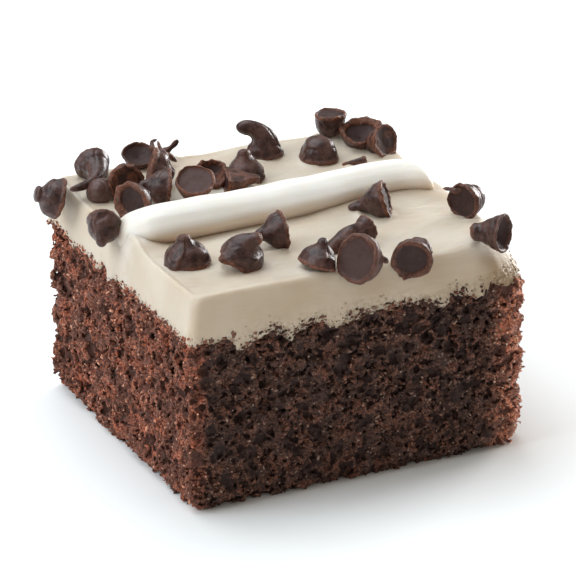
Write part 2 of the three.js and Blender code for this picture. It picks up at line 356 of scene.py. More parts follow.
def sponge_finish(look):
    """Moist chocolate crumb: reddish torn edges and dark walls, with painted shade by depth that lightens
    the tips and darkens the pores to near black, pale specks that are partly painted glints, and painted
    light at the lit ends.
    """
    material, graph, surface, place = shader("chocolate_crumb")
    depth = graph.attribute("pore_depth")
    patch = graph.noise(place, 4.0, 2.0, 0.6)
    grain = graph.noise(place, 0.42, 2.0, 0.6)
    fold = graph.math("ABSOLUTE", graph.swing(place, 1.0, 2.0, 0.6))
    edge = graph.ramp(fold, 0.02, 0.13, 1.0, 0.0)
    # Painted shade by depth: tips that stand out are lighter, and pores are darker further down
    tip = graph.ramp(depth, -0.35, 0.55, 1.0, 0.0)
    light = graph.times_plus(edge, 0.40, graph.times(tip, 0.30))
    light = graph.times_plus(graph.ramp(grain, 0.36, 0.66), 0.55, light)
    light = graph.times(graph.ramp(light, 0.35, 1.1), graph.ramp(patch, 0.36, 0.6, 0.22, 1.0))
    warm = graph.blend(graph.ramp(patch, 0.40, 0.66), look.colour, look.red)
    # Pale specks on the tips, partly painted glints of moist crumb
    speck_and_glint = graph.ramp(graph.noise(place, 0.3, 1.0, 0.5), 0.68, 0.76, 0.0, 0.7)
    base = graph.layered(look.dark, (light, warm), (graph.ramp(depth, 0.2, 0.9, 0.0, 0.8), look.pore_shade),
                         (graph.times(speck_and_glint, tip), look.speck_and_glint))
    graph.feed(surface, {
        "Base Color": painted_light_ends(graph, place, base), "Roughness": graph.ramp(grain, 0.3, 0.7, 0.72, 0.42),
        "Specular IOR Level": 0.28, "Normal": graph.relief(graph.noise(place, 0.26, 2.0, 0.75), 0.3)})
    return material


def grain_finish(look):
    """Small loose crumbs, each of its own tone; a few pale grains are partly painted glints, and the lit
    ends get painted light.
    """
    material, graph, surface, place = shader("crumb_grain")
    tone = graph.attribute("tone")
    broad = graph.noise(place, 4.0, 2.0, 0.6)
    warm = graph.blend(graph.ramp(broad, 0.38, 0.7), look.colour, look.red)
    patch = graph.ramp(broad, 0.36, 0.6, 0.45, 1.0)
    base = graph.layered(look.dark, (graph.times(graph.ramp(tone, 0.1, 0.85), patch), warm),
                         # Pale grains: partly painted glints
                         (graph.ramp(tone, 0.86, 0.97, 0.0, 0.45), look.speck_and_glint))
    graph.feed(surface, {
        "Base Color": painted_light_ends(graph, place, base), "Roughness": graph.ramp(tone, 0.0, 1.0, 0.7, 0.4),
        "Specular IOR Level": 0.28, "Normal": graph.relief(graph.noise(place, 0.25, 2.0, 0.6), 0.08)})
    return material


def frosting_finish(look):
    """Whipped coffee frosting: satin, slightly translucent, with knife streaks and pinholes; painted shade
    darkens the pinholes, the near cut face and its right corner, and a painted shadow of the stripe lies on
    the bank in front of it.
    """
    material, graph, surface, place = shader("coffee_frosting")
    along, across = graph.separate(place)[:2]
    crumbly = graph.attribute("crumbly")
    broad = graph.noise(place, 9.0, 2.0, 0.5)
    streak = graph.noise(graph.vector("MULTIPLY", place, (0.35, 1.6, 1.6)), 1.6, 3.0, 0.55)
    # Crumb, coating and pinholes in the torn edge; the pinholes' dark colour is painted shade, as they are
    # only a bump
    fleck = graph.ramp(graph.noise(place, 0.7, 3.0, 0.6), 0.44, 0.68)
    corner = graph.ramp(along, HALF_LENGTH - 11.5, HALF_LENGTH - 6.5)
    coat = graph.blend(corner, look.pale, look.coating)
    shaded_pinhole = graph.ramp(graph.cells(place, 1.7).outputs["Distance"], 0.10, 0.17, 1.0, 0.0)
    shaded_pinhole = graph.times(shaded_pinhole, graph.ramp(crumbly, 0.15, 0.6))
    # The near cut face is a little more coffee coloured than the spread top: painted shade, warmer and
    # darker where this face is turned from the lights
    cut = graph.ramp(across, 0.4 - HALF_DEPTH, 2.4 - HALF_DEPTH, 1.0, 0.0)
    mottle = graph.ramp(graph.noise(place, 2.2, 3.0, 0.6), 0.36, 0.58, 0.35, 1.0)
    smear = graph.times(graph.ramp(graph.attribute("smear"), 0.35, 1.0), mottle)
    base = graph.layered(
        look.colour, (graph.ramp(broad, 0.3, 0.7), look.pale),
        (graph.ramp(streak, 0.35, 0.75, 0.0, 0.25), look.pale), (graph.times(fleck, crumbly), look.fleck),
        (graph.times(crumbly, 0.5), coat), (shaded_pinhole, look.shaded_pinhole), (cut, look.cut, "MULTIPLY"),
        # Painted shade at the near cut face's right corner
        (graph.times(corner, cut), look.corner, "MULTIPLY"),
        # Painted shadow of the stripe on the bank in front of it
        (graph.attribute("bank"), look.bank, "MULTIPLY"), (smear, look.cream))
    fine = graph.times(graph.noise(place, 0.5, 3.0, 0.7), crumbly)
    height = graph.less(graph.times_plus(fine, 2.5, graph.times(streak, 0.7)), shaded_pinhole)
    graph.feed(surface, {
        "Base Color": base, "Roughness": graph.ramp(streak, 0.3, 0.7, 0.42, 0.56),
        "Subsurface Weight": 0.35, "Subsurface Radius": (1.0, 0.75, 0.5), "Subsurface Scale": 0.0022,
        "Normal": graph.relief(height, 0.16)})
    return material


def coated_finish(look):
    """Crumbs at the torn edge that frosting has coated, from ochre to nearly white."""
    material, graph, surface, place = shader("coated_crumb")
    tone = graph.attribute("tone")
    base = graph.layered(look.fleck, (graph.ramp(tone, 0.0, 0.6), look.coating),
                         (graph.ramp(tone, 0.6, 1.0, 0.0, 0.6), look.pale))
    graph.feed(surface, {"Base Color": base, "Roughness": 0.5,
                         "Normal": graph.relief(graph.noise(place, 0.25, 2.0, 0.6), 0.08)})
    return material


def cream_finish(look):
    """Piped white cream: smooth and satin, with faint marks along its length, and browner low down: painted
    shade and warm bounce light on its lower half, and the cream's blend into the frosting at its left end.
    """
    material, graph, surface, place = shader("piped_cream")
    broad = graph.noise(place, 6.0, 2.0, 0.5)
    base = graph.layered(look.colour, (graph.ramp(broad, 0.3, 0.7), look.shade),
                         (graph.attribute("low"), look.stain_and_shade))
    streak = graph.noise(graph.vector("MULTIPLY", place, (0.12, 1.0, 1.0)), 0.9, 2.0, 0.5)
    graph.feed(surface, {
        "Base Color": base, "Roughness": graph.ramp(streak, 0.3, 0.7, 0.36, 0.5),
        "Subsurface Weight": 0.6, "Subsurface Radius": (1.0, 0.8, 0.6), "Subsurface Scale": 0.003,
        "Normal": graph.relief(streak, 0.05)})
    return material


def chocolate_finish(look):
    """Dark waxy chocolate: a dull base, a satin body and reddish broken rims."""
    material, graph, surface, place = shader("dark_chocolate")
    rim, foot, tone = (graph.attribute(name) for name in ("rim", "foot", "tone"))
    worn = graph.blend(graph.ramp(tone, 0.6, 1.0, 0.0, 0.6), look.foot, look.dusty)
    cloud = graph.noise(place, 1.6, 3.0, 0.65)
    dusty = graph.ramp(graph.times_plus(tone, 0.36, cloud), 0.5, 0.86)
    broken = graph.times(rim, graph.ramp(graph.noise(place, 0.55, 3.0, 0.7), 0.36, 0.6, 0.12, 1.0))
    chalk = graph.times(rim, graph.ramp(graph.noise(place, 0.28, 2.0, 0.6), 0.56, 0.7, 0.0, 0.6))
    base = graph.layered(look.colour, (dusty, look.dusty), (graph.times(foot, 0.8), worn),
                         (broken, look.rim_colour), (chalk, look.chalk))
    dull = graph.most(graph.times(foot, 1.5), broken)
    scuffs = graph.ramp(graph.noise(place, 0.9, 4.0, 0.7), 0.3, 0.72, 0.23, 0.42)
    fine = graph.noise(graph.vector("MULTIPLY", place, (1.0, 1.0, 0.55)), 0.24, 3.0, 0.7)
    grit = graph.times(fine, graph.times_plus(rim, 1.0, 0.16))
    height = graph.times_plus(graph.noise(place, 1.3, 2.0, 0.5), 1.0, grit)
    graph.feed(surface, {
        "Base Color": base, "Roughness": graph.times_plus(dull, 0.2, scuffs), "Specular IOR Level": 0.27,
        "Normal": graph.relief(height, 0.17)})
    return material


# Sponge

def cut_sides():
    """The windows in which the crumb of each cut side is grown, and the plain heart between them."""
    top = SPONGE_HEIGHT + SPONGE_UNDER
    out_x, out_y = HALF_LENGTH + SIDE_REACH, HALF_DEPTH + SIDE_REACH
    in_x, in_y = HALF_LENGTH - SIDE_DEPTH, HALF_DEPTH - SIDE_DEPTH
    lap_x, lap_y = in_x + SIDE_LAP, in_y + SIDE_LAP
    return {
        "front": ((-out_x, -out_y, 0), (out_x, -in_y, top)),
        "back": ((-out_x, in_y, 0), (out_x, out_y, top)),
        "left": ((-out_x, -lap_y, 0), (-in_x, lap_y, top)),
        "right": ((in_x, -lap_y, 0), (out_x, lap_y, top)),
        "heart": ((-lap_x, -lap_y, 0), (lap_x, lap_y, top)),
    }


def new_tree(name, **inputs):
    """A node tree that turns geometry into geometry, its graph, inputs and place in millimetres."""
    tree = bpy.data.node_groups.new(name, "GeometryNodeTree")
    tree.interface.new_socket("Geometry", in_out="INPUT", socket_type="NodeSocketGeometry")
    for kind, names in inputs.items():
        for socket in names:
            tree.interface.new_socket(socket, in_out="INPUT", socket_type=f"NodeSocket{kind}")
    tree.interface.new_socket("Geometry", in_out="OUTPUT", socket_type="NodeSocketGeometry")
    graph = Graph(tree)
    given = graph.add("NodeGroupInput").outputs
    place = graph.scaled(graph.add("GeometryNodeInputPosition"), 1 / MM)
    return tree, graph, given, place


def finish_tree(graph, given, geometry):
    """Ends a tree with real geometry in its material."""
    real = graph.add("GeometryNodeRealizeInstances", {0: geometry})
    dressed = graph.add("GeometryNodeSetMaterial", {0: real, "Material": given["Material"]})
    graph.add("NodeGroupOutput", {0: dressed})


def crumb_tree():
    """A node tree that grows the part of a torn block of sponge inside one window."""
    tree, graph, given, place = new_tree(
        "sponge_crumb", Vector=("Window Low", "Window High"),
        Float=("Length", "Depth", "Height", "Corner", "Near Corner", "Step", "Pore Size", "Cavity Size",
               "Foot", "Smallest Island"),
        Material=("Material",))
    side = block_side(graph, place, given)
    solid = graph.least(carved(graph, place, side, given), window_side(graph, place, given))
    margin = graph.times(given["Step"], 2.0)
    spare = graph.joined(margin, margin, margin)
    low = graph.vector("SUBTRACT", given["Window Low"], spare)
    high = graph.vector("ADD", given["Window High"], spare)
    steps = graph.joined(given["Step"], given["Step"], given["Step"])
    count = graph.separate(graph.vector("DIVIDE", graph.vector("SUBTRACT", high, low), steps))
    volume = graph.add("GeometryNodeVolumeCube", {
        "Density": graph.plus(solid, 1.0), "Background": 0.0, "Min": graph.scaled(low, MM),
        "Max": graph.scaled(high, MM), "Resolution X": count[0], "Resolution Y": count[1],
        "Resolution Z": count[2]})
    skin = graph.add("GeometryNodeVolumeToMesh", {
        "Volume": volume, "Threshold": 1.0, "Adaptivity": 0.05})
    marked = graph.add("GeometryNodeStoreNamedAttribute", {
        "Geometry": skin, "Name": "pore_depth", "Value": side}, data_type="FLOAT",
        domain="POINT")
    island = graph.add("GeometryNodeInputMeshIsland")
    spread = graph.add("GeometryNodeAccumulateField", {"Value": 1.0, "Group ID": island}, domain="POINT")
    small = graph.add("FunctionNodeCompare", {0: spread.outputs["Total"], 1: given["Smallest Island"]},
                      operation="LESS_THAN")
    whole = graph.add("GeometryNodeDeleteGeometry", {
        "Geometry": marked, "Selection": small}, domain="POINT")
    smooth = graph.add("GeometryNodeSetShadeSmooth", {"Geometry": whole})
    finish_tree(graph, given, smooth)
    return tree


def window_side(graph, place, given):
    """How far inside the window a point is."""
    near = graph.separate(graph.vector("SUBTRACT", place, given["Window Low"]))
    far = graph.separate(graph.vector("SUBTRACT", given["Window High"], place))
    inside = near[0]
    for other in (near[1], near[2], far[0], far[1], far[2]):
        inside = graph.least(inside, other)
    return inside


def block_side(graph, place, given):
    """How far inside the cut sides a point is, with the lumps that tearing crumb leaves."""
    x, y, z = graph.separate(place)[:3]
    near = graph.times(graph.math("GREATER_THAN", x, 0.0), graph.math("LESS_THAN", y, 0.0))
    rounder = graph.less(given["Near Corner"], given["Corner"])
    corner = graph.times_plus(near, rounder, given["Corner"])
    reach = [graph.less(graph.math("ABSOLUTE", axis), graph.less(graph.times(size, 0.5), corner))
             for axis, size in ((x, given["Length"]), (y, given["Depth"]))]
    past = [graph.most(r, 0.0) for r in reach]
    square = graph.times_plus(past[0], past[0], graph.times(past[1], past[1]))
    within = graph.least(graph.most(*reach), 0.0)
    inside = graph.less(corner, graph.plus(graph.math("SQRT", square), within))
    lumps = graph.swing(place, 6.0, 1.0)
    bumps = graph.swing(place, 2.4, 1.0, 0.6)
    clumps = graph.swing(place, 1.2, 1.0, 0.6)
    uneven = graph.times_plus(clumps, 1.5, graph.times_plus(lumps, 1.6, graph.times(bumps, 2.1)))
    foot = graph.times(graph.ramp(z, 0.0, 2.6, 1.0, 0.0), given["Foot"])
    neck = graph.ramp(graph.less(z, given["Height"]), -0.2, 1.6, 0.0, 1.9)
    return graph.less(graph.less(graph.plus(inside, uneven), foot), neck)


# The bubbles in the crumb: which distance they follow, their share of it, and their least and
# most radius as a share of their own cell
BUBBLES = (("Pore Size", 2.3, 0.20, 0.60), ("Pore Size", 1.05, 0.10, 0.56),
           ("Cavity Size", 1.0, -0.15, 0.42))
# How thick the shell is in which they are cut
SHELL = 0.95


def carved(graph, place, side, given):
    """The block's inside distance once bubbles of several sizes are cut into its shell."""
    bent = graph.vector("ADD", place, graph.scaled(graph.sway(place, 0.9, 2.0, 0.65), 1.2))
    pores = []
    for key, share, least, most in BUBBLES:
        size = graph.times(given[key], share)
        cell = graph.cells(graph.scaled(bent, graph.math("DIVIDE", 1.0, size)), 1.0)
        lot = graph.separate(cell.outputs["Color"])[1]
        radius = graph.ramp(lot, 0.0, 1.0, least, most, smooth=False)
        pores.append(graph.times(graph.less(cell.outputs["Distance"], radius), size))
    open_space = graph.least(graph.least(pores[0], pores[1]), pores[2])
    rough = graph.swing(place, 0.62, 2.0, 0.7)
    walls = graph.times_plus(rough, 0.7, open_space)
    shell = graph.most(walls, graph.less(side, SHELL))
    return graph.least(graph.times_plus(rough, 1.3, side), shell)


def grain_tree():
    """A node tree that scatters small crumbs over a mesh, as thickly as one of its attributes says."""
    tree, graph, given, place = new_tree(
        "crumb_grains",
        Float=("Grains per square mm", "Bare At", "Full At", "Smallest", "Largest", "Longest", "Lowest",
               "Highest"),
        String=("Where",), Int=("Seed",), Material=("Material",))
    z = graph.separate(place)[2]
    where = graph.add("GeometryNodeInputNamedAttribute", {"Name": given["Where"]}, data_type="FLOAT")
    share = graph.ramp(where, given["Bare At"], given["Full At"], smooth=False)
    above = graph.math("GREATER_THAN", z, given["Lowest"])
    below = graph.math("LESS_THAN", z, given["Highest"])
    share = graph.times(share, graph.times(above, below))
    thickly = graph.math("DIVIDE", given["Grains per square mm"], MM * MM)
    points = graph.add("GeometryNodeDistributePointsOnFaces", {
        "Mesh": given["Geometry"], "Density": graph.times(share, thickly), "Seed": given["Seed"]})
    grain = graph.add("GeometryNodeMeshIcoSphere", {"Radius": MM, "Subdivisions": 1})
    turn = graph.add("FunctionNodeRandomValue", {0: (0, 0, 0), 1: (6.28, 6.28, 6.28)},
                     data_type="FLOAT_VECTOR")
    even = graph.add("FunctionNodeRandomValue", {2: 0.0, 3: 1.0, "Seed": 5}).outputs[1]
    span = graph.less(given["Largest"], given["Smallest"])
    size = graph.times_plus(graph.math("POWER", even, 2.2), span, given["Smallest"])
    shape = graph.add("FunctionNodeRandomValue", {
        0: (0.7, 0.7, 0.7), 1: graph.joined(1.3, 1.3, given["Longest"]), "Seed": 8},
        data_type="FLOAT_VECTOR")
    placed = graph.add("GeometryNodeInstanceOnPoints", {
        "Points": points, "Instance": grain,
        "Rotation": graph.add("FunctionNodeEulerToRotation", {0: turn}),
        "Scale": graph.scaled(shape, size)})
    tone = graph.add("FunctionNodeRandomValue", {2: 0.0, 3: 1.0, "Seed": 11}).outputs[1]
    toned = graph.add("GeometryNodeStoreNamedAttribute", {
        "Geometry": placed, "Name": "tone", "Value": tone}, data_type="FLOAT",
        domain="INSTANCE")
    real = graph.add("GeometryNodeRealizeInstances", {0: toned})
    bent = graph.add("GeometryNodeSetPosition", {
        "Geometry": real, "Offset": graph.scaled(graph.sway(place, 0.3, 1.0), 0.2 * MM)})
    finish_tree(graph, given, bent)
    return tree


def evaluated_mesh(piece):
    bpy.context.view_layer.update()
    graph = bpy.context.evaluated_depsgraph_get()
    return bpy.data.meshes.new_from_object(piece.evaluated_get(graph), depsgraph=graph)


def grown(name, tree, values, limit=None, start=None):
    """The plain mesh that a node tree makes from a start mesh, thinned to a triangle limit."""
    seed = bpy.data.objects.new(name, start or bpy.data.meshes.new(name))
    bpy.context.scene.collection.objects.link(seed)
    modifier = seed.modifiers.new("grow", "NODES")
    modifier.node_group = tree
    for item in tree.interface.items_tree:
        if item.in_out == "INPUT" and item.name in values:
            modifier[item.identifier] = values[item.name]
    mesh = evaluated_mesh(seed)
    seed.modifiers.clear()
    triangles = sum(len(p.vertices) - 2 for p in mesh.polygons)
    if limit is not None and triangles > limit:
        seed.data = mesh
        thin = seed.modifiers.new("thin", "DECIMATE")
        thin.ratio = limit / triangles
        mesh = evaluated_mesh(seed)
        seed.modifiers.clear()
    bpy.data.objects.remove(seed)
    return mesh


# Frosting

def rounded_square(u, v, spread, corner):
    """Where points on the unit square's edge lie on the cake's rounded outline, spread outwards."""
    half_x, half_y = HALF_LENGTH + spread, HALF_DEPTH + spread
    x, y = u * half_x, v * half_y
    cx = np.clip(x, corner - half_x, half_x - corner)
    cy = np.clip(y, corner - half_y, half_y - corner)
    dx, dy = x - cx, y - cy
    length = np.maximum(np.hypot(dx, dy), 1e-9)
    return cx + dx / length * corner, cy + dy / length * corner


def pressed_rims(x, y):
    """Low banks of frosting pushed up round each chip."""
    rise = np.zeros(len(x))
    chips = sorted(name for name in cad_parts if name.startswith("chip_"))
    for n, (low, high) in enumerate(map(node_box, chips)):
        centre, half = (low + high) / 2, (high - low) / 2
        radius = 0.82 * (half[0] + half[1]) / 2
        away = np.hypot(x - centre[0], y - centre[1])
        bank = np.exp(-((away - radius) / 0.75) ** 2)
        turn = np.arctan2(y - centre[1], x - centre[0])
        rise += bank * (0.22 + 0.16 * np.sin(turn * 2 + n * 1.7))
    return rise


def side_profile(eu, ev, reach):
    """How far the sheet stands out from the cut, its share of the height, and the ridge's offset."""
    climb = np.clip((1 - reach) / (1 - TOP_SHARE), 0, 1) * (SIDE_ROWS - 1)
    softness = smooth_step(eu, 0.1, 0.75) * (0.35 + 0.65 * smooth_step(-ev, -0.9, 0.2))
    crisp, soft = (through(shape, SIDE_ROWS) for shape in (CRISP_SIDE, SOFT_SIDE))
    offset, share = (
        (1 - softness) * np.interp(climb, range(SIDE_ROWS), crisp[:, k])
        + softness * np.interp(climb, range(SIDE_ROWS), soft[:, k])
        for k in (0, 1))
    # How far each side leans in, for it is steeper on the left
    facing = np.abs(eu) ** 8 / (np.abs(eu) ** 8 + np.abs(ev) ** 8)
    lean = facing * np.where(eu < 0, 0.55, 1.0) + (1 - facing) * np.where(ev < 0, 0.8, 0.75)
    offset = np.where((share > 0.1) & (offset < 0), offset * lean, offset)
    ridge = ((1 - softness) * CRISP_SIDE[-1][0] + softness * SOFT_SIDE[-1][0]) * lean
    return offset, share, ridge


def sheet_plan(eu, ev, reach):
    """Where the sheet lies on the plan, its share of the height, and which points are on top."""
    offset, share, ridge = side_profile(eu, ev, reach)
    on_top = reach < TOP_SHARE
    near = (eu > 0) & (ev < 0)
    swell = 0.35 * noise(np.column_stack([eu * 30, ev * 28.5, np.full(len(eu), 9.0)]), 9)
    corner = np.where(near, CORNER_NEAR + RIDGE_ROUND * np.interp(share, *NEAR_ROUNDING), CORNER)
    side = rounded_square(eu, ev, offset + swell * (share > 0), corner)
    corner = np.where(near, CORNER_NEAR + RIDGE_ROUND, CORNER)
    rim = rounded_square(eu, ev, np.where(on_top, ridge, offset) + swell, corner)
    inner = np.minimum(reach / TOP_SHARE, 1)
    x, y = (np.where(on_top, rim[k] * inner, side[k]) for k in (0, 1))
    return x, y, share, on_top


def spread_top(x, y, share):
    """The top's height, and how strongly the mound and the bank by the stripe are there."""
    smear = np.exp(-((x - SMEAR_PLACE[0]) / SMEAR_REACH[0]) ** 2
                   - ((y - SMEAR_PLACE[1]) / SMEAR_REACH[1]) ** 2)
    path = through(STRIPE_PATH, 80)
    ahead = np.interp(x, path[:, 0], path[:, 1]) - y
    bank = (1 - smooth_step(ahead, 2.5, 9.5)) * smooth_step(ahead, 0.0, 2.4)
    bank = bank * smooth_step(x, -8.0, 12.0) * (1 - smooth_step(x, 22.5, 28.5))
    flat = flat_points(x, y)
    height = frosting_surface(x, y)
    height += SMEAR_HEIGHT * smear + BANK_HEIGHT * bank
    height += 0.10 * noise(flat * [0.25, 1.0, 1.0], 1.9) + 0.05 * noise(flat * [0.5, 1.0, 1.0], 0.9)
    height += pressed_rims(x, y) * smooth_step(share, 0.8, 1.0)
    return height, smear, bank


def closed_sheet(count):
    """Faces of a square grid of points, and of a fan from its edge to one more point below it."""
    index = np.arange((count + 1) ** 2).reshape(count + 1, count + 1)
    corners = [index[:-1, :-1], index[1:, :-1], index[1:, 1:], index[:-1, 1:]]
    edge = np.r_[index[:-1, 0], index[-1, :-1], index[:0:-1, -1], index[0, :0:-1]]
    fan = np.column_stack([edge, np.roll(edge, -1), np.full(len(edge), index.size)])
    return np.stack(corners, -1).reshape(-1, 4).tolist() + fan.tolist()


def frosting_mesh(count):
    """One sheet draped over the cake: a grid whose middle is the top and whose rim is the side."""
    line = np.linspace(-1, 1, count + 1)
    u, v = (g.ravel() for g in np.meshgrid(line, line, indexing="ij"))
    reach = np.maximum(np.maximum(np.abs(u), np.abs(v)), 1e-6)
    eu, ev = u / reach, v / reach
    x, y, share, on_top = sheet_plan(eu, ev, reach)
    ceiling, smear, bank = spread_top(x, y, share)
    flat = flat_points(x, y)
    floor = seam_height(x, y) + 0.35 * noise(flat + 40, 1.5) + 0.45 * noise(flat + 20, 2.8)
    z = np.where(on_top, ceiling, floor + share * (ceiling - floor))
    # Teeth of frosting that hang over the crumb
    teeth = (1 - smooth_step(share, 0.02, 0.2)) * ~on_top
    z += teeth * (0.55 * noise(flat + 60, 1.2) + 0.45 * noise(flat + 80, 0.6))
    # Lobes of frosting that hang lower than the rest
    lobe = smooth_step(noise(flat + 20, 2.3), 0.02, 0.45) * ~on_top
    lobe *= smooth_step(share, -0.12, 0.02) * (1 - smooth_step(share, 0.08, 0.36))
    z -= LOBE_DROP * lobe
    # The torn, crumb-coated band just over the seam, which is widest at the near right corner
    band = (1 - smooth_step(share / (0.3 + 0.24 * smooth_step(eu, 0.55, 1.0)), 0.45, 1.0)) * ~on_top
    band *= 0.32 + 0.68 * smooth_step(eu, -0.95, -0.2)
    solid = np.column_stack([x, y, z])
    bare = smooth_step(eu, 0.6, 0.9) * smooth_step(-ev, 0.5, 0.9)
    push = band * (0.30 * noise(solid, 1.0) + 0.26 * noise(solid + 7, 0.5) - 0.35 * bare) + 0.5 * lobe
    x = x + push * np.where(np.abs(eu) >= np.abs(ev), np.sign(eu), 0)
    y = y + push * np.where(np.abs(ev) > np.abs(eu), np.sign(ev), 0)
    points = np.vstack([np.column_stack([x, y, z]), [[0, 0, SPONGE_HEIGHT - 1.0]]])
    hem = teeth * (share > -0.06) * (1 - 0.8 * bare)
    # bank also marks where the stripe's painted shadow lies on the frosting
    marks = {"crumbly": band, "hem": hem, "smear": smear, "bank": bank}
    marks = {name: np.r_[values, 0] for name, values in marks.items()}
    return make_mesh("frosting_spread", points, closed_sheet(count), marks)


# Cream stripe

def stripe_mesh():
    """The piped rope: it lies sunk in the frosting, and its blunt ends come down to its foot."""
    steps, around = 220, 56
    path = through(STRIPE_PATH, 80)
    first, last = path[0, 0], path[-1, 0]
    base = FROSTING_TOP - STRIPE_SINK
    rings = []
    for step in range(1, steps):
        t = step / steps
        along = math.sin((t * 2 - 1) * math.pi / 2)
        end = max(1 - abs(along) ** STRIPE_ENDS[along > 0], 0) ** 0.42
        smear = 1 - float(smooth_step(along, -1.0, -0.82))
        x = first + (along + 1) / 2 * (last - first)
        y, fat = (np.interp(x, path[:, 0], path[:, k]) for k in (1, 2))
        fat = end * (fat + 0.012 * math.sin(along * 9 + 1) + 0.008 * math.sin(along * 23))
        turn = np.linspace(0, 2 * math.pi, around, endpoint=False)
        up = np.sin(turn)
        across = np.cos(turn) + STRIPE_LEAN * (np.maximum(up, 0) - 0.35)
        half = STRIPE_WIDTH / 2 * fat * (1 + 0.1 * smear)
        rise = STRIPE_THICK / 2 * fat * (1 - 0.1 * smear)
        ridges = 1 + 0.012 * np.sin(turn * 7 + along * 1.5) + 0.008 * np.sin(turn * 13 + 2)
        ys = y + half * ridges * across
        zs = base + rise + rise * ridges * up
        rings.append(np.column_stack([np.full(around, x), ys, zs]))
    points = np.vstack([rings[0].mean(0), *rings, rings[-1].mean(0)])
    points += 0.05 * noise(points * [0.3, 1, 1], 2.2)[:, None] * [0, 1, 1]
    # low: painted shade and warm bounce light on the rope's lower half, and the cream's blend into the
    # frosting at its left end
    low = 1 - smooth_step(points[:, 2], base + 0.4, base + 0.88 * STRIPE_THICK)
    low = np.maximum(low, 0.4 * (1 - smooth_step(points[:, 0], first, first + 7)))
    return make_mesh("cream_rope", points, tube_faces(len(rings), around), {"low": low})


# Chips

# What a chip may add to a plain drop. lift raises it onto its neighbours, tall scales its neck, thin
# narrows the neck, knob thickens its tip, barrel keeps its body at least that wide up to the top,
# bend curves the neck by that angle towards bend_to round its axis, roll turns it round its axis,
# narrow squeezes it, cut slices its side off, and dent hollows its foot. lip gives the least and
# most width of the rim round the foot and where it is widest, drip draws the rim out at that
# angle, torn roughens it and rim says how red it is. folds are flaps that end in a step at an
# angle, ruddy breaks the skin in red patches, snapped does so at the tip, tone is how dusty it is.
PLAIN_CHIP = dict(lift=0, tall=1.0, thin=1.0, knob=0.0, barrel=0.0, bend=0, bend_to=0, roll=0, narrow=1.0,
                  cut=1.2, dent=0.0, lip=(0.0, 0.1, 0), drip=None, torn=1.0, rim=1.0, folds=(), ruddy=0.0,
                  snapped=0.0, tone=0.5)


def chip(x, y, heading, pitch, size, **features):
    """A chip's middle on the plan, where its tip points, from +X towards +Y and up, and its size."""
    return dict(PLAIN_CHIP, x=x, y=y, heading=heading, pitch=pitch, size=size, **features)


